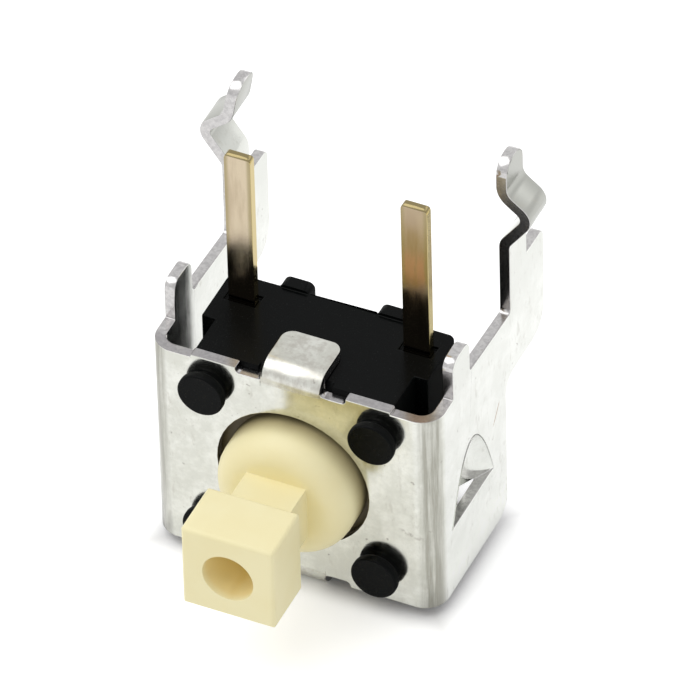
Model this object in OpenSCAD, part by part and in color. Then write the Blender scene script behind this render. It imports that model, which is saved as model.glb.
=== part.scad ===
// Right-angle tactile push button switch with a folded snap-in bracket.
// It stands with its terminals up, as it lies in a tray before it is fitted to a board.
// The origin is on the plane where the board seats, halfway between the two signal pins.
// +X is to the right of someone who faces the button, +Y runs back from the button, and +Z is up.

/* [Board layout] */
// Distance between the two signal pins
pin_pitch = 4.5; // [4.4:0.05:4.6]
// Distance from the signal pins back to the snap legs
leg_gap = 2.5; // [2.4:0.05:2.6]
// Distance from the board seat down to the button's axis
axis_drop = 4.05; // [4.05:0.05:4.2]
// Reach of the signal pins past the board seat
pin_reach = 3.45; // [3:0.05:4]

/* [Bracket] */
// Thickness of the tinned steel sheet
sheet_t = 0.28; // [0.25:0.01:0.3]
// Gap between the housing and each side plate, which the lances bridge
side_gap = 0.52; // [0.45:0.01:0.55]
// Height of the front plate and of the housing
face_h = 6; // [5.9:0.05:6.1]
// Distance from the front plate's outer face back to the signal pins
face_reach = 2.3; // [2.25:0.05:2.4]
// Outer radius of the bends beside the front plate
corner_r = 0.6; // [0.5:0.05:0.7]
// Depth of the side plates, from the front plate's outer face
side_depth = 4; // [3.9:0.05:4.1]
// Radius of the side plates' lower rear corners
side_corner_r = 0.5; // [0.3:0.05:0.6]
// Radius in the corner under each arm
arm_fillet_r = 0.45; // [0.3:0.05:0.5]
// Height of the arm that carries each leg back
arm_h = 2; // [1.8:0.1:2.1]
// Radius of the arm's lower rear corner
arm_corner_r = 0.7; // [0.5:0.05:0.8]
// Fall of each arm's upper edge towards its leg
arm_drop = 0.12; // [0:0.02:0.2]
// Radius in the corners at the feet of the shoulders and the hooks
foot_r = 0.12; // [0.05:0.01:0.15]
// Step of the plate's top edge down to its bends
edge_step = 0.08; // [0.05:0.01:0.1]
// Distance of that step from the side plates' outer faces
edge_step_in = 1.14; // [1.1:0.02:1.2]

/* [Board stops] */
// Height of the front shoulders above the side plates
shoulder_h = 1; // [0.9:0.05:1]
// Distance of the shoulders from the front plate's outer face
shoulder_y = 1.05; // [1:0.05:1.1]
// Width of each shoulder
shoulder_w = 0.95; // [0.85:0.05:1]
// Radius of the shoulders' upper corners
shoulder_r = 0.28; // [0.2:0.02:0.34]
// Width of each leg, hook and rear stop together
leg_w = 1.92; // [1.8:0.02:1.96]
// Radius of the rear stops' upper corners
stop_r = 0.2; // [0.1:0.05:0.3]

/* [Snap hooks] */
// Width of each hook
hook_w = 0.95; // [0.85:0.05:1]
// Reach of the hooks past the board seat
hook_reach = 3.46; // [3.4:0.02:3.6]
// Height where the hook starts to lean out
hook_start = 1; // [0.9:0.02:1.06]
// Height of the hook's widest place
hook_peak = 1.92; // [1.88:0.01:1.96]
// Height where the hook turns up to its tip
hook_neck = 2.48; // [2.44:0.01:2.54]
// Inward set of that place from the leg
hook_neck_in = 0.05; // [0:0.01:0.06]
// Distance that the hook leans out
hook_out = 0.66; // [0.6:0.01:0.68]
// Bend radius where the hook leans out, to the middle of the sheet
hook_start_r = 0.4; // [0.3:0.02:0.5]
// Bend radius at the hook's widest place
hook_bend_r = 0.32; // [0.24:0.02:0.34]
// Bend radius where the hook turns up to its tip
hook_neck_r = 0.5; // [0.4:0.02:0.56]
// Radius of the hooks' tips
hook_tip_r = 0.42; // [0.3:0.02:0.42]
// Inward set of the left hook's tip
left_tip_set = 0.18; // [0:0.02:0.3]
// Inward set of the right hook's tip
right_tip_set = 0; // [0:0.02:0.3]

/* [Folded tabs] */
// Width of the tabs that hold the housing above and below
tab_w = 1.5; // [1.4:0.05:1.6]
// Reach of the tabs behind the front plate's outer face
tab_reach = 1.43; // [1.35:0.02:1.5]
// Bend radius of the tabs, to the middle of the sheet
tab_bend_r = 0.32; // [0.26:0.02:0.36]
// Radius of the tabs' free corners
tab_corner_r = 0.3; // [0.15:0.05:0.35]
// Width of the relief notch on each side of a tab
notch_w = 0.66; // [0.5:0.02:0.7]
// Radius in the bottom of the relief notches
notch_r = 0.12; // [0.06:0.02:0.14]

/* [Side lances] */
// Width of the lance that is pressed in from each side plate
lance_w = 2.36; // [2.2:0.04:2.4]
// Height of the lance above its slit
lance_h = 1.95; // [1.8:0.05:2.3]
// Distance of the lance's middle from the front plate's outer face
lance_y = 2.03; // [1.95:0.02:2.1]
// Distance of the slit below the button's axis
slit_drop = 1.05; // [1:0.05:1.2]
// Height of the lance's inner crease
crease_h = 1; // [0.8:0.05:1.1]
// Distance of the crease behind the lance's middle
crease_back = 0.2; // [0.1:0.05:0.3]

/* [Housing] */
// Width of the housing between the side plates
housing_w = 5.8; // [5.75:0.01:5.85]
// Distance that the housing's front step is set in on each side
front_step_in = 0.35; // [0.3:0.01:0.4]
// Depth of the front step, from the front plate's outer face
front_step_depth = 1.37; // [1.3:0.01:1.4]
// Depth of the housing, from the front plate's outer face
housing_depth = 3.03; // [3:0.01:3.1]
// Radius of the housing's rear corners
housing_r = 0.2; // [0.1:0.05:0.25]
// Width of each rib down the back
rib_w = 0.78; // [0.7:0.02:0.86]
// Distance between the ribs' middles
rib_pitch = 2.5; // [2.4:0.05:2.6]
// Distance that the ribs stand out behind
rib_depth = 0.3; // [0.2:0.05:0.35]
// Distance that the ribs stand above the housing's top
rib_rise = 0.1; // [0.05:0.01:0.15]
// Depth of the ribs' roots in the housing's back
rib_root = 0.05; // [0.04:0.01:0.1]
// Radius of the ribs' upper corners
rib_r = 0.18; // [0.1:0.02:0.2]
// Radius of the switch chamber
chamber_r = 2.28; // [2.26:0.01:2.3]
// Depth of the chamber's floor, from the front plate's outer face
floor_y = 1.42; // [1.4:0.01:1.45]
// Depth of the sunk edge round each pin's foot
foot_sink = 0.08; // [0.06:0.02:0.12]
// Width of the sunk edge round each pin's foot
foot_gap = 0.09; // [0.06:0.01:0.12]

/* [Staked pegs] */
// Distance between the pegs, from side to side
peg_pitch_x = 4.36; // [4.3:0.02:4.4]
// Distance between the pegs, from top to bottom
peg_pitch_z = 4.24; // [4.2:0.02:4.3]
// Radius of the pegs in the plate's holes
peg_r = 0.5; // [0.45:0.01:0.52]
// Radius of the head that the staking spread in front of the plate
peg_head_r = 0.59; // [0.57:0.01:0.64]
// Distance from the plate to the back of the head
peg_neck_t = 0.08; // [0.04:0.01:0.12]
// Distance that the pegs stand out of the plate
peg_proud = 0.36; // [0.34:0.01:0.4]
// Radius of the head's edge
peg_edge_r = 0.05; // [0.03:0.01:0.1]
// Depth of the pegs' roots in the housing
peg_root = 0.3; // [0.2:0.05:0.4]

/* [Terminals] */
// Thickness of the terminals' strip
terminal_t = 0.24; // [0.22:0.01:0.26]
// Width of the signal pins
pin_w = 0.68; // [0.64:0.02:0.7]
// Bend radius of the terminals, to the middle of the strip
terminal_bend_r = 0.2; // [0.16:0.01:0.22]
// Height of the terminals' joggle above the button's axis
joggle_z = 2.2; // [2.1:0.05:2.3]
// Radius of the pins' tips, seen from the front
tip_side_r = 0.16; // [0.12:0.02:0.3]
// Radius of the pins' tips, seen from the side
tip_edge_r = 0.1; // [0.04:0.02:0.1]
// Depth of the middle contact's strip below the chamber's floor
contact_sink = 0.15; // [0.12:0.01:0.18]
// Radius of the middle contact
contact_r = 0.5; // [0.4:0.05:0.6]
// Height of the side contact under the dome's edge
side_contact_h = 2.4; // [2:0.1:2.6]
// Distance that the side contact reaches in from the dome's edge
side_contact_in = 0.65; // [0.4:0.05:0.8]

/* [Click dome] */
// Radius of the click dome's edge
dome_r = 2.15; // [2.1:0.01:2.2]
// Rise of the click dome
dome_rise = 0.42; // [0.4:0.01:0.44]
// Thickness of the click dome
dome_t = 0.07; // [0.05:0.01:0.08]

/* [Button] */
// Distance that the loose button hangs below its hole's middle
button_sag = 0.07; // [0:0.01:0.1]
// Distance that the button travels
travel = 0.25; // [0.2:0.01:0.26]
// Radius of the button's round boss
boss_r = 1.75; // [1.7:0.01:1.8]
// Distance that the round boss stands out of the plate
boss_proud = 0.91; // [0.86:0.01:0.96]
// Radius of the round boss's front edge
boss_edge_r = 0.62; // [0.4:0.02:0.64]
// Radius of the plate's hole for the button
hole_r = 1.95; // [1.92:0.01:1.98]
// Radius of the flange that keeps the button in
flange_r = 2.2; // [2.15:0.01:2.2]
// Thickness of that flange
flange_t = 0.4; // [0.35:0.01:0.4]
// Radius of the nub that presses the click dome
nub_r = 0.8; // [0.6:0.05:0.9]
// Width of the square neck
neck_w = 1.54; // [1.4:0.02:1.6]
// Distance from the plate to the back of the square head
head_back = 2.1; // [2:0.05:2.2]
// Distance from the plate to the front of the square head
head_front = 3.65; // [3.5:0.05:3.8]
// Width of the square head
head_w = 2.38; // [2.3:0.02:2.5]
// Height of the square head
head_h = 2.4; // [2.3:0.02:2.5]
// Radius of the square head's edges
head_edge_r = 0.12; // [0.08:0.02:0.16]
// Radius of the blind hole in the head
head_hole_r = 0.65; // [0.6:0.01:0.7]
// Depth of the blind hole in the head
head_hole_depth = 1.2; // [1:0.05:1.3]

/* [Fits] */
// Gap between the housing and the tabs above and below it
tab_clear = 0.02; // [0.01:0.01:0.03]
// Gap between the lances and the housing's sides
lance_clear = 0.02; // [0.01:0.01:0.03]
// Gap between the pegs and the plate's holes
peg_clear = 0.02; // [0.01:0.01:0.03]
// Gap between the button's flange and the plate
flange_clear = 0.1; // [0.02:0.01:0.1]
// Gap between the button's nub and the click dome
nub_clear = 0.01; // [0.01:0.005:0.02]

/* [Hidden] */
$fn = 64;
// Straight lengths in each rounded corner of a cut or folded outline
corner_steps = 8;
// Straight lengths in each half of the lances' arched outline
lance_steps = 8;
// Straight lengths in the click dome's section
dome_steps = 10;
// Length by which a cutting shape passes the face that it opens
over = 0.5;

half_w = housing_w / 2 + side_gap + sheet_t;
half_h = face_h / 2;
seat_z = axis_drop;
side_top = seat_z - shoulder_h;
arm_low = side_top - arm_h;
front_step_x = housing_w / 2 - front_step_in;
hook_y = face_reach + leg_gap - hook_w / 2;
leg_back = hook_y + leg_w;
tab_z = half_h + tab_clear + sheet_t / 2;
// The relief notches end where the tabs start to bend
tab_bend_z = tab_z - tab_bend_r;
lance_depth = side_gap - lance_clear;
pin_x = pin_pitch / 2;
pin_tip_z = seat_z + pin_reach;
dome_front = floor_y - dome_rise;
flange_front = sheet_t + flange_clear;
flange_back = flange_front + flange_t;
nub_back = dome_front - nub_clear;
// The dome bottoms on the middle contact at the end of the button's travel
contact_front = dome_front + dome_t + travel - nub_clear;
contact_y = floor_y + contact_sink;

// Point of a unit circle, at an angle from the Y axis
function polar(angle) = [sin(angle), cos(angle)];

// Unit vector along v
function unit(v) = v / norm(v);

// Vector v turned by an angle
function turned(v, angle) = [v.x * cos(angle) - v.y * sin(angle), v.x * sin(angle) + v.y * cos(angle)];

// Z part of the cross product of two flat vectors
function side_of(a, b) = a.x * b.y - a.y * b.x;

// Points of one corner [x, y, radius] between its neighbours, as an arc that touches both sides
function corner_arc(before, here, after) =
    let (
        p = [here.x, here.y],
        to_before = unit([before.x, before.y] - p),
        to_after = unit([after.x, after.y] - p),
        half = acos(to_before * to_after) / 2,
        centre = p + unit(to_before + to_after) * here.z / sin(half),
        start = p + to_before * here.z / tan(half) - centre,
        sweep = (180 - 2 * half) * sign(side_of(to_after, to_before))
    )
    [for (i = [0 : corner_steps]) centre + turned(start, sweep * i / corner_steps)];

// Outline through the corners [x, y, radius], each rounded by its own radius
function rounded(corners) =
    let (n = len(corners))
    [for (i = [0 : n - 1])
        each corners[i].z > 0
            ? corner_arc(corners[(i + n - 1) % n], corners[i], corners[(i + 1) % n])
            : [[corners[i].x, corners[i].y]]];

// Corner i of a folded strip's path, moved sideways by shift, with the bend radius at that side
function strip_corner(path, i, shift, bends) =
    let (
        last = len(path) - 1,
        d0 = unit(i == 0 ? path[1] - path[0] : path[i] - path[i - 1]),
        d1 = unit(i == last ? path[i] - path[i - 1] : path[i + 1] - path[i]),
        n0 = [-d0.y, d0.x],
        m = unit(n0 + [-d1.y, d1.x]),
        p = path[i] + m * shift / (m * n0)
    )
    [p.x, p.y, i == 0 || i == last ? 0 : bends[i - 1] - shift * sign(side_of(d0, d1))];

// Section of a strip of thickness t that is folded along a path, with the radius of each bend
function strip(path, t, bends) =
    let (n = len(path))
    rounded(concat(
        [for (i = [0 : n - 1]) strip_corner(path, i, t / 2, bends)],
        [for (i = [n - 1 : -1 : 0]) strip_corner(path, i, -t / 2, bends)]
    ));

// Corners of a rectangle between two opposite corners, all with one radius
function box_corners(low, high, r) =
    [[low.x, low.y, r], [high.x, low.y, r], [high.x, high.y, r], [low.x, high.y, r]];

// Puts shapes that are drawn from the button's axis, on the front plate's outer face, in place
module at_axis() {
    translate([0, -face_reach, -axis_drop]) children();
}

// Runs an outline in X and Z back from y0 to y1
module along_y(y0, y1) {
    translate([0, y1, 0]) rotate([90, 0, 0]) linear_extrude(y1 - y0) children();
}

// Runs an outline in Y and Z to the right from x0 to x1
module along_x(x0, x1) {
    translate([x0, 0, 0]) rotate([90, 0, 90]) linear_extrude(x1 - x0) children();
}

// Runs an outline in X and Y up from z0 to z1
module along_z(z0, z1) {
    translate([0, 0, z0]) linear_extrude(z1 - z0) children();
}

// Makes the same shape on the right and on the left
module both_sides() {
    children();
    mirror([1, 0, 0]) children();
}

// Makes the same shape above and below the axis
module above_and_below() {
    children();
    mirror([0, 0, 1]) children();
}

// Side view of the folded blank: plate, shoulder, arm and leg, in Y and Z
module side_outline() {
    shoulder_end = shoulder_y + shoulder_w;
    polygon(rounded([
        [0, -half_h, 0],
        [side_depth, -half_h, side_corner_r],
        [side_depth, arm_low, arm_fillet_r],
        [leg_back, arm_low, arm_corner_r],
        [leg_back, seat_z, stop_r],
        [hook_y, seat_z, 0],
        [hook_y, side_top - arm_drop, foot_r],
        [shoulder_end, side_top, foot_r],
        [shoulder_end, seat_z, shoulder_r],
        [shoulder_y, seat_z, shoulder_r],
        [shoulder_y, half_h, foot_r],
        [0, half_h, 0]
    ]));
}

// Front plate and side plates, folded from one strip
module folded_plates() {
    side_x = half_w - sheet_t / 2;
    bend_r = corner_r - sheet_t / 2;
    path = [[-side_x, leg_back], [-side_x, sheet_t / 2], [side_x, sheet_t / 2], [side_x, leg_back]];
    intersection() {
        along_z(-half_h, seat_z) polygon(strip(path, sheet_t, [bend_r, bend_r]));
        along_x(-half_w, half_w) side_outline();
    }
}

// Hook at the end of the right leg: it leans out under the board and back in to its tip
module hook(tip_set) {
    x = half_w - sheet_t / 2;
    path = [
        [x, side_top],
        [x, seat_z + hook_start],
        [x + hook_out, seat_z + hook_peak],
        [x - hook_neck_in, seat_z + hook_neck],
        [x - hook_neck_in - tip_set, seat_z + hook_reach]
    ];
    bends = [hook_start_r, hook_bend_r, hook_neck_r];
    intersection() {
        along_y(hook_y, hook_y + hook_w) polygon(strip(path, sheet_t, bends));
        along_x(0, half_w + hook_out + over) polygon(rounded([
            [hook_y, side_top, 0],
            [hook_y + hook_w, side_top, 0],
            [hook_y + hook_w, seat_z + hook_reach, hook_tip_r],
            [hook_y, seat_z + hook_reach, hook_tip_r]
        ]));
    }
}

// Tab that is folded back over the housing's top
module tab() {
    path = [[sheet_t / 2, tab_bend_z - sheet_t], [sheet_t / 2, tab_z], [tab_reach, tab_z]];
    intersection() {
        along_x(-tab_w / 2, tab_w / 2) polygon(strip(path, sheet_t, [tab_bend_r]));
        along_z(0, half_h + over) polygon(rounded([
            [-tab_w / 2, 0, 0],
            [tab_w / 2, 0, 0],
            [tab_w / 2, tab_reach, tab_corner_r],
            [-tab_w / 2, tab_reach, tab_corner_r]
        ]));
    }
}

// Part of the plate's edge that bends away as a tab
module tab_place() {
    translate([-tab_w / 2, -over, tab_bend_z]) cube([tab_w, sheet_t + 2 * over, half_h]);
}

// Relief notch in the plate's edge, on the right of a tab
module relief_notch() {
    along_y(-over, sheet_t + over) polygon(rounded([
        [tab_w / 2, tab_bend_z, notch_r],
        [tab_w / 2 + notch_w, tab_bend_z, notch_r],
        [tab_w / 2 + notch_w, half_h + over, 0],
        [tab_w / 2, half_h + over, 0]
    ]));
}

// Face of the lance at a distance inside the right side plate, down to its inner crease
module lance_form(inset) {
    // Thickness of the thin shapes that the hull spans
    foot = 0.01;
    x = half_w - inset;
    hull() {
        along_x(x - foot, x) polygon([for (i = [-lance_steps : lance_steps])
            let (t = i / lance_steps)
            [lance_y - lance_w / 2 * t, lance_h * (1 - t * t) - slit_drop]]);
        translate([x - lance_depth, lance_y + crease_back, -slit_drop]) cube([foot, foot, crease_h]);
    }
}

module bracket() {
    color("silver") at_axis() difference() {
        union() {
            difference() {
                folded_plates();
                above_and_below() tab_place();
            }
            hook(right_tip_set);
            mirror([1, 0, 0]) hook(left_tip_set);
            above_and_below() tab();
            both_sides() lance_form(sheet_t);
        }
        both_sides() lance_form(0);
        above_and_below() both_sides() relief_notch();
        both_sides() translate([half_w - edge_step_in, -over, half_h - edge_step])
            cube([half_w, shoulder_y + over, edge_step + over]);
        rotate([-90, 0, 0]) cylinder(h = 2 * (sheet_t + over), r = hole_r, center = true);
        above_and_below() both_sides() translate([peg_pitch_x / 2, 0, peg_pitch_z / 2])
            rotate([-90, 0, 0]) cylinder(h = 2 * (sheet_t + over), r = peg_r + peg_clear, center = true);
    }
}

// Peg that is staked over the plate, revolved about its own axis and pointing forward
module staked_peg() {
    root = sheet_t + peg_root;
    rotate([90, 0, 0]) rotate_extrude() polygon(rounded([
        [0, -root, 0],
        [peg_r, -root, 0],
        [peg_r, peg_neck_t, 0],
        [peg_head_r, peg_neck_t + peg_head_r - peg_r, 0],
        [peg_head_r, peg_proud, peg_edge_r],
        [0, peg_proud, 0]
    ]));
}

// Plan of the housing, a narrower step in front and the full width behind
module housing_plan() {
    polygon(rounded([
        [-front_step_x, sheet_t, 0],
        [front_step_x, sheet_t, 0],
        [front_step_x, front_step_depth, 0],
        [housing_w / 2, front_step_depth, 0],
        [housing_w / 2, housing_depth, housing_r],
        [-housing_w / 2, housing_depth, housing_r],
        [-housing_w / 2, front_step_depth, 0],
        [-front_step_x, front_step_depth, 0]
    ]));
}

// Rib down the housing's back, on the right
module back_rib() {
    x = rib_pitch / 2;
    along_y(housing_depth - rib_root, housing_depth + rib_depth) polygon(rounded([
        [x - rib_w / 2, -half_h, 0],
        [x + rib_w / 2, -half_h, 0],
        [x + rib_w / 2, half_h + rib_rise, rib_r],
        [x - rib_w / 2, half_h + rib_rise, rib_r]
    ]));
}

// Sunk edge round the foot of the right pin
module foot_recess() {
    along_z(half_h - foot_sink, half_h + over) translate([pin_x, face_reach])
        square([pin_w + 2 * foot_gap, terminal_t + 2 * foot_gap], center = true);
}

// Chamfer of the front upper edge, which clears the inside of a tab's bend
module tab_chamfer() {
    side = tab_bend_r - sheet_t / 2;
    along_x(-tab_w / 2 - side, tab_w / 2 + side) polygon([
        [sheet_t - over, half_h - side - over],
        [sheet_t + side + over, half_h + over],
        [sheet_t - over, half_h + over]
    ]);
}

module housing() {
    color("#1c1c1e") at_axis() difference() {
        union() {
            along_z(-half_h, half_h) housing_plan();
            both_sides() back_rib();
            above_and_below() both_sides() translate([peg_pitch_x / 2, 0, peg_pitch_z / 2]) staked_peg();
        }
        translate([0, floor_y, 0]) rotate([90, 0, 0]) cylinder(h = floor_y, r = chamber_r);
        both_sides() foot_recess();
        above_and_below() tab_chamfer();
        rim_terminal_form();
        centre_terminal_form();
    }
}

// Strip from a contact plate, over the joggle and up through the pin, on the right
module pin_strip(plate_y) {
    path = [
        [plate_y + terminal_t / 2, 0],
        [plate_y + terminal_t / 2, joggle_z],
        [face_reach, joggle_z],
        [face_reach, pin_tip_z]
    ];
    bends = [terminal_bend_r, terminal_bend_r];
    intersection() {
        along_x(pin_x - pin_w / 2, pin_x + pin_w / 2) polygon(strip(path, terminal_t, bends));
        along_y(0, face_reach + over) translate([pin_x, 0]) polygon(rounded([
            [-pin_w / 2, 0, 0],
            [pin_w / 2, 0, 0],
            [pin_w / 2, pin_tip_z, tip_side_r],
            [-pin_w / 2, pin_tip_z, tip_side_r]
        ]));
        along_x(0, pin_pitch) polygon(rounded([
            [0, 0, 0],
            [face_reach + terminal_t / 2, 0, 0],
            [face_reach + terminal_t / 2, pin_tip_z, tip_edge_r],
            [face_reach - terminal_t / 2, pin_tip_z, tip_edge_r],
            [face_reach - terminal_t / 2, pin_tip_z - tip_side_r, 0],
            [0, pin_tip_z - tip_side_r, 0]
        ]));
    }
}

// Left terminal, whose plate lies under the click dome's edge
module rim_terminal_form() {
    plate_h = side_contact_h;
    plate_in = dome_r - side_contact_in;
    plate_out = pin_x + pin_w / 2;
    mirror([1, 0, 0]) pin_strip(floor_y);
    along_y(floor_y, floor_y + terminal_t) polygon(rounded([
        [-plate_out, -plate_h / 2, terminal_t / 2],
        [-plate_in, -plate_h / 2, terminal_t / 2],
        [-plate_in, plate_h / 2, terminal_t / 2],
        [-plate_out, plate_h / 2, 0]
    ]));
}

// Right terminal, whose sunk arm carries the contact under the dome's middle
module centre_terminal_form() {
    arm = pin_w / 2;
    pin_strip(contact_y);
    along_y(contact_y, contact_y + terminal_t) polygon(rounded([
        [-arm, -arm, arm],
        [pin_x + arm, -arm, arm],
        [pin_x + arm, arm, 0],
        [-arm, arm, arm]
    ]));
    translate([0, contact_y + terminal_t, 0]) rotate([90, 0, 0])
        cylinder(h = contact_y + terminal_t - contact_front, r = contact_r);
}

module rim_terminal() {
    color("#c9b48c") at_axis() rim_terminal_form();
}

module centre_terminal() {
    color("#c9b48c") at_axis() centre_terminal_form();
}

module click_dome() {
    // Sphere whose cap has the dome's edge radius and rise
    outer_r = (dome_r * dome_r + dome_rise * dome_rise) / (2 * dome_rise);
    inner_r = outer_r - dome_t;
    outer_end = asin(dome_r / outer_r);
    inner_end = acos((outer_r - dome_rise) / inner_r);
    centre_y = dome_front + outer_r;
    section = concat(
        [for (i = [0 : dome_steps]) outer_r * polar(outer_end * i / dome_steps)],
        [for (i = [dome_steps : -1 : 0]) inner_r * polar(inner_end * i / dome_steps)]
    );
    color("gainsboro") at_axis() translate([0, centre_y, 0]) rotate([90, 0, 0])
        rotate_extrude() polygon(section);
}

// Round parts of the button: nub, flange and boss, revolved and pointing forward
module button_boss() {
    rotate([90, 0, 0]) rotate_extrude() polygon(rounded([
        [0, -nub_back, 0],
        [nub_r, -nub_back, 0],
        [nub_r, -flange_back, 0],
        [flange_r, -flange_back, 0],
        [flange_r, -flange_front, 0],
        [boss_r, -flange_front, 0],
        [boss_r, boss_proud, boss_edge_r],
        [0, boss_proud, 0]
    ]));
}

// Square head with all its edges rounded
module square_head() {
    w = head_w / 2;
    h = head_h / 2;
    intersection() {
        along_y(-head_front, -head_back) polygon(rounded(box_corners([-w, -h], [w, h], head_edge_r)));
        along_x(-w, w) polygon(rounded(box_corners([-head_front, -h], [-head_back, h], head_edge_r)));
        along_z(-h, h) polygon(rounded(box_corners([-w, -head_front], [w, -head_back], head_edge_r)));
    }
}

module plunger() {
    color("#efe3b8") at_axis() translate([0, 0, -button_sag]) difference() {
        union() {
            button_boss();
            along_y(-head_back - head_edge_r, 0) square(neck_w, center = true);
            square_head();
        }
        translate([0, head_hole_depth - head_front, 0]) rotate([90, 0, 0])
            cylinder(h = head_hole_depth + over, r = head_hole_r);
    }
}

bracket();
housing();
rim_terminal();
centre_terminal();
click_dome();
plunger();
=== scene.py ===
import math

import bmesh
import bpy
import numpy as np
from mathutils import Euler, Matrix, Vector


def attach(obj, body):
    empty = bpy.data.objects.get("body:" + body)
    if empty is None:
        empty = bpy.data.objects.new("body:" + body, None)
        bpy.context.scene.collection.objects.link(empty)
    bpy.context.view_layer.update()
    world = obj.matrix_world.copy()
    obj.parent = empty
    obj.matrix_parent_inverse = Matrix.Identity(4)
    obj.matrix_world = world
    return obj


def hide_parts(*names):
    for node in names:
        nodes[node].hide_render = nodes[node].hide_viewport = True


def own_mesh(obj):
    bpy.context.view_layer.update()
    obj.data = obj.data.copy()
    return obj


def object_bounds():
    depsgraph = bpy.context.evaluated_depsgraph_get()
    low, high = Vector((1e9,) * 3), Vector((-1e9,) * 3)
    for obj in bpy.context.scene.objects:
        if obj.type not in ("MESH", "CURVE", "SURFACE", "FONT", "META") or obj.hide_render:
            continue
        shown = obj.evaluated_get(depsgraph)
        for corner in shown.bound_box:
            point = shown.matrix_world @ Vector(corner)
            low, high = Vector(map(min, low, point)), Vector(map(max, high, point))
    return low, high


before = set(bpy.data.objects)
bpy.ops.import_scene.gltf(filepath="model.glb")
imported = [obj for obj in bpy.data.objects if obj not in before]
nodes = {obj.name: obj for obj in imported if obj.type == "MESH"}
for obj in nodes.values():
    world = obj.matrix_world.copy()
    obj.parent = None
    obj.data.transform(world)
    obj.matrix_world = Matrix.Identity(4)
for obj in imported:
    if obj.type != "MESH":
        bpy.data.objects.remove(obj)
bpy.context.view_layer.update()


# ---- Camera ----
# A long lens looks down at the switch from the front right, with the pins up, and rolls by
# a degree and a half, as the one that took the photograph did. Angles are in degrees.
MM = 0.001
AIM = Vector((0.37, 0.22, -1.96)) * MM
LENS, SENSOR = 641.0, 36.0
NEAREST, FURTHEST = 10 * MM, 3000 * MM


def put_in_scene(name, data):
    """A new object at the origin."""
    thing = bpy.data.objects.new(name, data)
    bpy.context.scene.collection.objects.link(thing)
    return thing


def look_at_switch(seer, azimuth, elevation, distance, roll=0.0):
    """Puts a camera or a lamp at its angles and distance from the switch, turned towards it."""
    turn = Euler((math.pi / 2 - math.radians(elevation), 0, math.radians(azimuth))).to_matrix()
    turn = turn @ Matrix.Rotation(math.radians(roll), 3, "Z")
    seer.matrix_world = Matrix.Translation(AIM + turn @ Vector((0, 0, distance))) @ turn.to_4x4()


camera = put_in_scene("camera", bpy.data.cameras.new("camera"))
bpy.context.scene.camera = camera
camera.data.lens, camera.data.sensor_width = LENS, SENSOR
camera.data.clip_start, camera.data.clip_end = NEAREST, FURTHEST
look_at_switch(camera, azimuth=25.49, elevation=42.28, distance=292.1 * MM, roll=-1.56)


# ---- Studio ----
# The switch stands on white paper under two soft boxes. Round its foot the paper also glows to
# the camera and to the metal, which makes it white, and under it the paper keeps its shadow.
class Socket:
    """An output socket of a shader tree. Arithmetic on it adds Math nodes."""

    def __init__(self, finish, socket):
        self.finish, self.socket = finish, socket

    def math(self, operation, a, b=0.0):
        return self.finish.add("Math", {0: a, 1: b}, operation=operation)["Value"]

    def __add__(self, other):
        return self.math("ADD", self, other)

    def __sub__(self, other):
        return self.math("SUBTRACT", self, other)

    def __rsub__(self, other):
        return self.math("SUBTRACT", other, self)

    def __mul__(self, other):
        return self.math("MULTIPLY", self, other)

    def __pow__(self, other):
        return self.math("POWER", self, other)

    def __abs__(self):
        return self.math("ABSOLUTE", self)

    def max(self, other):
        return self.math("MAXIMUM", self, other)

    __radd__, __rmul__ = __add__, __mul__


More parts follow.
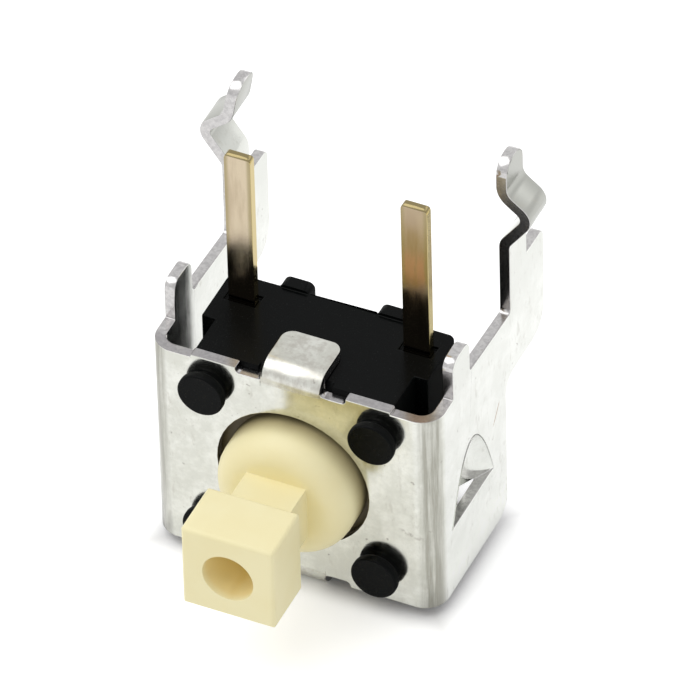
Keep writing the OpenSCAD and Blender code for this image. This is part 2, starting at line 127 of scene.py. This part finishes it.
class Finish:
    """A node tree being built: add() makes any node, and the rest are its common uses."""

    def __init__(self, name, owner=None):
        self.material = owner or bpy.data.materials.new(name)
        self.material.use_nodes = True
        self.tree = self.material.node_tree
        self.tree.nodes.clear()

    def add(self, kind, inputs=None, **settings):
        """Adds a node: its settings first, then the values or links of its sockets."""
        node = self.tree.nodes.new("ShaderNode" + kind)
        for name, value in settings.items():
            setattr(node, name, value)
        for name, value in (inputs or {}).items():
            if isinstance(value, Socket):
                self.tree.links.new(value.socket, node.inputs[name])
            else:
                node.inputs[name].default_value = value
        return {key: Socket(self, out)
                for out in reversed(node.outputs) for key in (out.name, out.identifier)}

    def place(self, stretch=(1.0, 1.0, 1.0)):
        """Object coordinates in millimetres, each multiplied by its own stretch."""
        at = self.add("TexCoord")["Object"]
        scale = [s / MM for s in stretch]
        return self.add("VectorMath", {0: at, 1: scale}, operation="MULTIPLY")["Vector"]

    def axes(self, vector):
        parts = self.add("SeparateXYZ", {"Vector": vector})
        return parts["X"], parts["Y"], parts["Z"]

    def facing(self):
        """How squarely the surface faces each axis, from 0 to 1, whichever way."""
        return [abs(part) for part in self.axes(self.add("NewGeometry")["Normal"])]

    def noise(self, scale, stretch=(1.0, 1.0, 1.0), detail=3.0, roughness=0.55, shift=0.0):
        """Fractal noise about 0.5, with features of 1/scale millimetres, stretched by axis."""
        at = self.place(stretch)
        if shift:
            moved = {0: at, 1: (shift, shift, shift)}
            at = self.add("VectorMath", moved, operation="ADD")["Vector"]
        noise = {"Vector": at, "Scale": scale, "Detail": detail, "Roughness": roughness}
        return self.add("TexNoise", noise)["Fac"]

    def ease(self, value, start, end, low=0.0, high=1.0):
        """Goes smoothly from low at start to high at end."""
        ends = {"Value": value, "From Min": start, "From Max": end, "To Min": low, "To Max": high}
        return self.add("MapRange", ends, interpolation_type="SMOOTHSTEP")["Result"]

    # A Mix node's inputs 2 and 3 are its two numbers, and 6 and 7 its two colours
    def mix(self, factor, a, b):
        """Colour a where factor is 0 and b where it is 1."""
        a, b = (c if isinstance(c, Socket) else (*c, 1.0) for c in (a, b))
        ends = {0: factor, 6: a, 7: b}
        return self.add("Mix", ends, data_type="RGBA", clamp_factor=True)["Result_Color"]

    def blend(self, factor, a, b):
        """Number a where factor is 0 and b where it is 1."""
        return self.add("Mix", {0: factor, 2: a, 3: b}, data_type="FLOAT")["Result_Float"]

    def bump(self, height, distance, strength=0.4):
        """Normal of a surface that a height from 0 to 1 raises by a distance in metres."""
        bump = {"Strength": strength, "Distance": distance, "Height": height}
        return self.add("Bump", bump)["Normal"]

    def looked_at(self):
        """1 where it is seen, by the camera or in metal or glass, and 0 where it gives light."""
        rays = self.add("LightPath")
        return rays["Is Camera Ray"].max(rays["Is Glossy Ray"]).max(rays["Is Transmission Ray"])

    def surface(self, shader):
        self.add("OutputMaterial", {"Surface": shader})
        return self.material


def principled(finish, **inputs):
    """Ends a finish with the Principled shader. Underscores in the names stand for spaces."""
    values = {name.replace("_", " "): value for name, value in inputs.items()}
    return finish.surface(finish.add("BsdfPrincipled", values)["BSDF"])


FLOOR_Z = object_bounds()[0][2]
FLOOR_SPAN = 700 * MM
PAPER = (0.93, 0.93, 0.93, 1.0)
UNLIT, LIT = (0.0, 0.0, 0.0), (1.0, 1.0, 1.0)
# The switch's foot, and how far outside it the glow starts and is full, in millimetres
HALF_WIDTH, FOOT_MIDDLE, FOOT_HALF_DEPTH = 3.7, -0.3, 2.0
GLOW, GLOW_EDGE = 0.4, (-0.3, 0.5)


def white_paper():
    paper = Finish("white_paper")
    x, y, _ = paper.axes(paper.place())
    outside = (abs(x) - HALF_WIDTH).max(abs(y - FOOT_MIDDLE) - FOOT_HALF_DEPTH)
    glow = paper.ease(outside, *GLOW_EDGE, high=GLOW) * paper.looked_at()
    shown = paper.mix(glow, UNLIT, LIT)
    return principled(paper, Base_Color=PAPER, Roughness=1.0, Specular_IOR_Level=0.0,
                      Emission_Color=shown, Emission_Strength=1.0)


bpy.context.scene.view_settings.view_transform = "Standard"

floor_mesh = bpy.data.meshes.new("floor")
square = np.array([(-1, -1, 0), (1, -1, 0), (1, 1, 0), (-1, 1, 0)])
corners = FLOOR_SPAN * square + (0, 0, FLOOR_Z)
floor_mesh.from_pydata(corners.tolist(), [], [(0, 1, 2, 3)])
floor_mesh.materials.append(white_paper())
floor = put_in_scene("floor", floor_mesh)

WHITE = (1.0, 1.0, 1.0, 1.0)
ROOM_STRENGTH, BACKDROP_STRENGTH = 0.6, 1.0
world = bpy.context.scene.world or bpy.data.worlds.new("world")
bpy.context.scene.world = world
sky = Finish("world", owner=world)
room = sky.add("Background", {"Color": WHITE, "Strength": ROOM_STRENGTH})["Background"]
backdrop = sky.add("Background", {"Color": WHITE, "Strength": BACKDROP_STRENGTH})["Background"]
seen = sky.add("MixShader", {0: sky.looked_at(), 1: room, 2: backdrop})["Shader"]
sky.add("OutputWorld", {"Surface": seen})


def soft_box(name, azimuth, elevation, distance, size, power):
    """A square lamp that looks at the switch."""
    lamp = bpy.data.lights.new(name, "AREA")
    lamp.shape, lamp.size, lamp.energy = "SQUARE", size, power
    look_at_switch(put_in_scene(name, lamp), azimuth, elevation, distance)


soft_box("key_box", azimuth=-60, elevation=62, distance=320 * MM, size=320 * MM, power=0.5)
soft_box("back_box", azimuth=150, elevation=40, distance=360 * MM, size=240 * MM, power=0.15)


# ---- Bracket ----
# One piece of tin-plated steel, stamped flat, folded round the housing and formed into hooks.
# The plating is satin with fine rolling lines, and the sheared edges shine.
AXIS_DROP = 4.05
PEG_ACROSS, PEG_UP, PEG_CLEAR = 2.18, 2.12, 0.62
WELD = 0.004 * MM
# In degrees: the edges that get a radius, the creases, and how far a bend may turn from its own
# direction at a crease. The spread of a direction is 1 along an axis, and 1.05 at 3 degrees.
SHARP, CREASE, NEAR = 40, 32, 24
FLAT_SPREAD = 1.05


def geometry_group(name):
    """An empty tree of geometry nodes, and a function that adds a node and gives its outputs."""
    group = bpy.data.node_groups.new(name, "GeometryNodeTree")
    for way in ("INPUT", "OUTPUT"):
        group.interface.new_socket("Geometry", in_out=way, socket_type="NodeSocketGeometry")

    def add(kind, inputs, **settings):
        node = group.nodes.new(kind)
        for key, value in settings.items():
            setattr(node, key, value)
        for key, value in inputs.items():
            if isinstance(value, bpy.types.NodeSocket):
                group.links.new(value, node.inputs[key])
            else:
                node.inputs[key].default_value = value
        return node.outputs

    return group, add


def edge_group(name, sharp, clear):
    """Geometry nodes that mark the edges sharper than an angle, but none near the pegs' axes.

    The pegs cover the edges of their own holes, whose slim facets a rounded edge would turn over.
    """
    group, add = geometry_group(name)

    def work_out(operation, a, b=0.0):
        return add("ShaderNodeMath", {0: a, 1: b}, operation=operation)[0]

    def squared(value):
        return work_out("MULTIPLY", value, value)

    x, _, z = add("ShaderNodeSeparateXYZ", {0: add("GeometryNodeInputPosition", {})[0]})
    from_axis = work_out("ADD", z, AXIS_DROP * MM)
    across = work_out("SUBTRACT", work_out("ABSOLUTE", x), PEG_ACROSS * MM)
    up = work_out("SUBTRACT", work_out("ABSOLUTE", from_axis), PEG_UP * MM)
    away = work_out("SQRT", work_out("ADD", squared(across), squared(up)))
    angle = add("GeometryNodeInputMeshEdgeAngle", {})["Unsigned Angle"]
    marked = work_out("MULTIPLY", work_out("GREATER_THAN", away, clear),
                      work_out("GREATER_THAN", angle, math.radians(sharp)))
    weights = {"Geometry": add("NodeGroupInput", {})[0], "Name": "bevel_weight_edge",
               "Value": marked}
    stored = add("GeometryNodeStoreNamedAttribute", weights, data_type="FLOAT", domain="EDGE")
    add("NodeGroupOutput", {0: stored[0]})
    return group


def crease_group(name, crease, near):
    """Geometry nodes that shade a mesh smooth apart from edges sharper than the crease angle.

    Faces within three degrees of square to an axis are the flat ones, and point exactly along
    it at every corner. A bend starts from its own direction where it meets a sharper edge.
    """
    group, add = geometry_group(name)

    def vector_math(operation, a, b=(0.0, 0.0, 0.0)):
        return add("ShaderNodeVectorMath", {0: a, 1: b}, operation=operation)

    def held_on(domain, vector):
        held = {"domain": domain, "data_type": "FLOAT_VECTOR"}
        return add("GeometryNodeFieldOnDomain", {0: vector}, **held)[0]

    def less(value, limit):
        return add("FunctionNodeCompare", {0: value, 1: limit}, operation="LESS_THAN")[0]

    def choose(test, no, yes):
        ways = {"Switch": test, "False": no, "True": yes}
        return add("GeometryNodeSwitch", ways, input_type="VECTOR")[0]

    def shade_smooth(geometry, where=True, **settings):
        shaded = {"Geometry": geometry, "Shade Smooth": where}
        return add("GeometryNodeSetShadeSmooth", shaded, **settings)[0]

    angle = add("GeometryNodeInputMeshEdgeAngle", {})["Unsigned Angle"]
    smooth = shade_smooth(add("NodeGroupInput", {})[0])
    creased = shade_smooth(smooth, where=less(angle, math.radians(crease)), domain="EDGE")
    normals = add("GeometryNodeInputNormal", {})
    shaded, own = normals["Normal"], held_on("FACE", normals["True Normal"])
    spread = vector_math("DOT_PRODUCT", vector_math("ABSOLUTE", own)[0], (1.0, 1.0, 1.0))["Value"]
    flat = less(spread, FLAT_SPREAD)
    square = vector_math("FLOOR", vector_math("ADD", own, (0.5, 0.5, 0.5))[0])[0]
    curved = held_on("POINT", held_on("FACE", choose(flat, (0, 0, 0), own)))
    around = vector_math("NORMALIZE", curved)[0]
    alike = vector_math("DOT_PRODUCT", shaded, around)["Value"]
    apart = less(alike, math.cos(math.radians(near)))
    turned = choose(flat, choose(apart, around, shaded), square)
    finished = {"Mesh": creased, "Custom Normal": turned}
    level = add("GeometryNodeSetMeshNormal", finished, mode="FREE", domain="CORNER")[0]
    add("NodeGroupOutput", {0: level})
    return group


CREASES = crease_group("creases", crease=CREASE, near=NEAR)
ROUNDED = edge_group("rounded_edges", sharp=SHARP, clear=PEG_CLEAR * MM)


def finish_piece(piece, material, edge_radius, clear_of_pegs=False):
    """Gives a piece its finish, its edges a small radius, and its curves smooth shading."""
    piece.data.materials.clear()
    piece.data.materials.append(material)
    piece.modifiers.new("weld", "WELD").merge_threshold = WELD
    if clear_of_pegs:
        piece.modifiers.new("rounded_edges", "NODES").node_group = ROUNDED
    if edge_radius:
        edges = piece.modifiers.new("edge_radius", "BEVEL")
        edges.width, edges.segments, edges.use_clamp_overlap = edge_radius, 2, False
        edges.limit_method = "WEIGHT" if clear_of_pegs else "ANGLE"
        edges.angle_limit = math.radians(SHARP)
    piece.modifiers.new("creases", "NODES").node_group = CREASES


# Its places, in millimetres. Each pair runs from where a place starts to where it is full.
PLATE_BACK, SIDE_START, RIGHT_SIDE = (-1.7, -1.9), (3.06, 3.14), (3.5, 3.6)
TAB_SIDE, TAB_ROOT = (0.82, 0.76), (2.72, 2.8)
LANCE_MIDDLE, LANCE_SIDE, LANCE_TOP = -0.27, (1.26, 1.22), (-3.0, -3.1)
ARMS, LOW_SIDES, HOOKS = (-1.8, -0.4), (-5.2, -7.2), (1.3, 2.0)
# Two marks, each a middle point, a slope, and the half width and half length where it fades
SCRATCH = {"middle": (-3.55, 1.12), "slope": 0.7407, "width": (0.0444, 0.0148),
           "length": (0.26, 0.2)}
SCORE = {"middle": (3.1, -4.782), "slope": -0.32, "width": (0.09, 0.0), "length": (0.45, 0.2)}
# How far a bend is turned, how square a sheared edge is, and how far noises spread about 0.5
BEND, CUT = (0.12, 0.45), (0.45, 0.65)
SPREAD, MOTTLE_SPREAD = (0.35, 0.65), (0.38, 0.66)
# Where in its noise each trace of use, and the painted reflection on the bends, starts and is
# full
SPOTS, TAB_SPOTS, BEND_LINES = (0.54, 0.72), (0.40, 0.60), (0.36, 0.60)
SCRATCHED, SCORED, SPECKLED = (0.35, 0.50), (0.40, 0.60), (0.70, 0.78)

# Its colours, darker to paler where there are two, and its roughness
CLEAN = (0.68, 0.69, 0.65), (0.76, 0.77, 0.735)
FRONT_AND_TAB_GREYS = (0.575, 0.58, 0.53), (0.705, 0.71, 0.665)
SHEARED = (0.44, 0.43, 0.43), (0.56, 0.55, 0.545)
SHEARED_FRONT, SHEARED_FRONT_SHARE = (0.20, 0.19, 0.20), 0.45
# Arm and hook greys, and painted light for the low sides, which mirror the floor's shadow
ARM_GREY, LOW_SIDE_PAINTED_LIGHT, HOOK_GREY = (0.61, 0.62, 0.58), (0.90, 0.91, 0.87), (0.41, 0.415, 0.385)
# Grime, on the tabs too, and the grey of the painted reflection on the bends
GRIME, TAB_GRIME, BEND_REFLECTION_GREY = (0.44, 0.43, 0.38), (0.43, 0.41, 0.37), (0.31, 0.305, 0.265)
SCRATCH_BROWN, SCORE_BROWN = (0.36, 0.26, 0.18), (0.30, 0.28, 0.25)
HANDLED_ROUGHNESS, SHEARED_ROUGHNESS = 0.3, 0.2


def mark(finish, along, across, middle, slope, width, length):
    """A straight mark through a middle point, where across is slope times along."""
    along, across = along - middle[0], across - middle[1]
    return finish.ease(abs(across - along * slope), *width) * finish.ease(abs(along), *length)


def tin_plate():
    tin = Finish("tin_plate")
    x, y, z = tin.axes(tin.place())
    nx, ny, nz = tin.facing()
    front, side = tin.ease(y, *PLATE_BACK), tin.ease(abs(x), *SIDE_START)
    tab = tin.ease(abs(x), *TAB_SIDE) * tin.ease(abs(z + AXIS_DROP), *TAB_ROOT)
    lance = tin.ease(abs(y - LANCE_MIDDLE), *LANCE_SIDE) * tin.ease(z, *LANCE_TOP)
    hooks, bend = tin.ease(z, *HOOKS), tin.ease(nx * ny, *BEND) * front
    # A sheared edge is what doesn't face y on the plate or x on the sides, and what faces z on
    # the bends and lances or x on the tabs
    cut = tin.blend(front, tin.blend(lance, 1.0 - nx, nz), tin.blend(side, 1.0 - ny, nz))
    cut = tin.ease(tin.blend(tab, cut, nx), *CUT)
    scored = tin.noise(scale=8.0, detail=4.0, roughness=0.7, shift=2.1)
    sheared = tin.mix(tin.ease(scored, *SPREAD), *SHEARED)
    sheared = tin.mix(front * SHEARED_FRONT_SHARE, sheared, SHEARED_FRONT)
    lines = tin.noise(scale=9.0, stretch=(1.0, 1.0, 0.04), detail=5.0, roughness=0.75)
    mottle = tin.noise(scale=1.1, detail=6.0, roughness=0.7)
    grime = tin.noise(scale=4.5, stretch=(1.0, 1.0, 0.4), detail=6.0, roughness=0.7, shift=7.3)
    # Clean on the sides, greyer towards the top of the arms, on the hooks, the front plate and
    # the tabs
    colour = tin.mix(tin.ease(mottle, *MOTTLE_SPREAD), *CLEAN)
    colour = tin.mix(tin.ease(z, *ARMS, high=0.7), colour, ARM_GREY)
    # Painted light: paler low on the sides, where they mirror the floor's shadow
    colour = tin.mix(tin.ease(z, *LOW_SIDES, high=0.5), colour, LOW_SIDE_PAINTED_LIGHT)
    colour = tin.mix(hooks, colour, HOOK_GREY)
    front_and_tab_greys = tin.mix(tin.ease(mottle, *MOTTLE_SPREAD), *FRONT_AND_TAB_GREYS)
    colour = tin.mix(front.max(tab), colour, front_and_tab_greys)
    # Grime lies in spots everywhere, and thicker on the tabs
    colour = tin.mix(tin.ease(grime, *SPOTS, high=0.5), colour, GRIME)
    on_tab = tab * tin.ease(grime, *TAB_SPOTS, low=0.1, high=0.6)
    colour = tin.mix(on_tab, colour, TAB_GRIME)
    # A painted dark reflection on the bends, in streaks along the rolling lines
    bend_reflection = bend * tin.ease(lines, *BEND_LINES, low=0.5)
    colour = tin.mix(bend_reflection, colour, BEND_REFLECTION_GREY)
    colour = tin.mix(cut, colour, sheared)
    rough = tin.ease(lines * 0.5 + mottle * 0.5, *SPREAD, low=0.1, high=0.2)
    rough = tin.blend(tab.max(hooks), rough, HANDLED_ROUGHNESS)
    rough = tin.blend(cut, rough, SHEARED_ROUGHNESS)
    # A brown scratch behind the right lance, and dark scores low on the front plate
    scratch = tin.ease(x, *RIGHT_SIDE) * mark(tin, z, y, **SCRATCH)
    colour = tin.mix(scratch * tin.ease(grime, *SCRATCHED), colour, SCRATCH_BROWN)
    specks = tin.noise(scale=7.0, detail=2.0, shift=4.4)
    score = front * mark(tin, x, z, **SCORE) * tin.ease(specks, *SCORED, high=0.7)
    colour = tin.mix(score.max(tin.ease(specks, *SPECKLED, high=0.7)), colour, SCORE_BROWN)
    normal = tin.bump(lines, distance=0.0003 * MM)
    return principled(tin, Base_Color=colour, Metallic=1.0, Roughness=rough, Normal=normal)


finish_piece(nodes["bracket"], tin_plate(), edge_radius=0.025 * MM, clear_of_pegs=True)


# ---- Housing ----
# One black nylon moulding, glossy on its top and dull on its sides, with a little dust on it.
# Its four pegs come through the plate and are staked over it cold, which holds the two together.
NYLON_BLACK, DUST = (0.002, 0.0025, 0.0025), (0.03, 0.032, 0.03)
SIDE_ROUGHNESS = 0.7
WIDE_SPREAD, DUST_SPREAD = (0.3, 0.7), (0.66, 0.74)


def black_nylon():
    nylon = Finish("black_nylon")
    grain = nylon.noise(scale=9.0, detail=4.0)
    dust = nylon.noise(scale=22.0, detail=2.0, shift=3.1)
    colour = nylon.mix(nylon.ease(dust, *DUST_SPREAD, high=0.5), NYLON_BLACK, DUST)
    nx, _, _ = nylon.facing()
    rough = nylon.ease(grain, *WIDE_SPREAD, low=0.18, high=0.28)
    rough = nylon.blend(nx, rough, SIDE_ROUGHNESS)
    normal = nylon.bump(grain, distance=0.0015 * MM)
    return principled(nylon, Base_Color=colour, Roughness=rough, Specular_IOR_Level=0.06,
                      Normal=normal)


finish_piece(nodes["housing"], black_nylon(), edge_radius=0.03 * MM)


# ---- Terminals ----
# Two stamped brass strips, silver plated on their faces, with bare brass where they were cut.
# They sit in slots in the housing. The right one is tarnished, with a red-brown stain.

# Their places, in millimetres: the right pin, how far down it is tarnished and stained, a
# pin's rounded edges where the plating is thin, and its root in the housing's shade
RIGHT_PIN, TARNISHED = (0.0, 0.1), (3.6, 0.6)
STAIN_Z, STAINED, STAIN_SHARE, STAIN_STREAKS = 1.55, (0.75, 0.1), 0.8, (0.35, 0.55)
PIN_X, THIN_EDGES, ROOT = 2.25, (0.2, 0.3), (0.9, -0.3)
# How squarely the cut edges face x, and the tips face z
CUT_EDGES, TIPS = (0.6, 0.85), (0.25, 0.6)
PLATED = (0.44, 0.36, 0.255), (0.54, 0.455, 0.33)
TARNISH, STAIN = (0.26, 0.18, 0.105), (0.45, 0.26, 0.17)
THIN_PLATE, ROOT_SHADE = (0.30, 0.25, 0.13), (0.20, 0.16, 0.11)
CUT_BRASS, TIP_BRASS = (0.51, 0.405, 0.165), (0.27, 0.22, 0.11)


def plated_brass():
    brass = Finish("plated_brass")
    x, _, z = brass.axes(brass.place())
    nx, _, nz = brass.facing()
    right = brass.ease(x, *RIGHT_PIN)
    streaks = brass.noise(scale=5.0, stretch=(1.0, 1.0, 0.15), detail=5.0)
    plate = brass.mix(brass.ease(streaks, *SPREAD), *PLATED)
    tarnish = right * brass.ease(z, *TARNISHED, low=0.45, high=0.9)
    plate = brass.mix(tarnish, plate, TARNISH)
    stain = right * brass.ease(abs(z - STAIN_Z), *STAINED) * brass.ease(streaks, *STAIN_STREAKS)
    plate = brass.mix(stain * STAIN_SHARE, plate, STAIN)
    plate = brass.mix(brass.ease(abs(abs(x) - PIN_X), *THIN_EDGES, high=0.75), plate, THIN_PLATE)
    plate = brass.mix(brass.ease(z, *ROOT), plate, ROOT_SHADE)
    colour = brass.mix(brass.ease(nx, *CUT_EDGES), plate, CUT_BRASS)
    colour = brass.mix(brass.ease(nz, *TIPS), colour, TIP_BRASS)
    rough = brass.ease(streaks, *WIDE_SPREAD, low=0.1, high=0.18)
    return principled(brass, Base_Color=colour, Metallic=1.0, Roughness=rough)


terminal_finish = plated_brass()
for terminal in ("rim_terminal", "centre_terminal"):
    finish_piece(nodes[terminal], terminal_finish, edge_radius=0.02 * MM)


# ---- Click dome ----
# A thin stainless disc under the button, pressed to a shallow dome, loose in its chamber. It
# flattens towards its rim as the button comes in, so a merged copy of it stands for it.
DISC_MERGE = 0.0005 * MM
STEEL = (0.58, 0.58, 0.57), (0.66, 0.66, 0.65)


def spring_steel():
    steel = Finish("spring_steel")
    sheen = steel.noise(scale=4.0, detail=3.0)
    rough = steel.ease(sheen, *WIDE_SPREAD, low=0.2, high=0.3)
    colour = steel.mix(sheen, *STEEL)
    return principled(steel, Base_Color=colour, Metallic=1.0, Roughness=rough)


disc_mesh = nodes["click_dome"].data.copy()
disc_mesh.transform(nodes["click_dome"].matrix_world)
merged = bmesh.new()
merged.from_mesh(disc_mesh)
bmesh.ops.remove_doubles(merged, verts=merged.verts, dist=DISC_MERGE)
merged.to_mesh(disc_mesh)
merged.free()
disc = put_in_scene("click_disc", disc_mesh)
finish_piece(disc, spring_steel(), edge_radius=0.0)
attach(disc, "base")
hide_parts("click_dome")
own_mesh(disc)


# ---- Button ----
# One ivory moulding with a satin skin, a little translucent, held by its flange behind the
# plate. Painted shade makes its blind hole, its boss's root and the gap round it amber and brown.

# Its places, in millimetres: in from the hole's wall and from its mouth, and back on the boss
BUTTON_SAG = 0.07
HOLE_SIDE, HOLE_MOUTH = (0.7, 0.62), (-5.94, -5.7)
BOSS_ROOT, PLATE_GAP = (-2.8, -2.2), (-2.25, -1.95)
IVORY = (0.93, 0.84, 0.50), (0.95, 0.87, 0.54)
# Painted shade: amber in the hole and at the boss's root, brown in the gap behind the plate
HOLE_PAINTED_SHADE, ROOT_PAINTED_SHADE, GAP_PAINTED_SHADE = (0.93, 0.76, 0.36), (0.57, 0.49, 0.26), (0.16, 0.13, 0.07)


def ivory_plastic():
    ivory = Finish("ivory_plastic")
    clouds = ivory.noise(scale=0.8, detail=3.0)
    x, y, z = ivory.axes(ivory.place())
    colour = ivory.mix(ivory.ease(clouds, *WIDE_SPREAD), *IVORY)
    up = z + (AXIS_DROP + BUTTON_SAG)
    from_axis = (x * x + up * up) ** 0.5
    hole = ivory.ease(from_axis, *HOLE_SIDE) * ivory.ease(y, *HOLE_MOUTH)
    # Painted shade: amber in the blind hole and at the boss's root, and brown in the gap round it
    colour = ivory.mix(hole, colour, HOLE_PAINTED_SHADE)
    colour = ivory.mix(ivory.ease(y, *BOSS_ROOT), colour, ROOT_PAINTED_SHADE)
    colour = ivory.mix(ivory.ease(y, *PLATE_GAP), colour, GAP_PAINTED_SHADE)
    grain = ivory.noise(scale=14.0, detail=3.0)
    normal = ivory.bump(grain, distance=0.003 * MM)
    return principled(ivory, Base_Color=colour, Roughness=0.42, Specular_IOR_Level=0.3,
                      Normal=normal)


finish_piece(nodes["plunger"], ivory_plastic(), edge_radius=0.02 * MM)
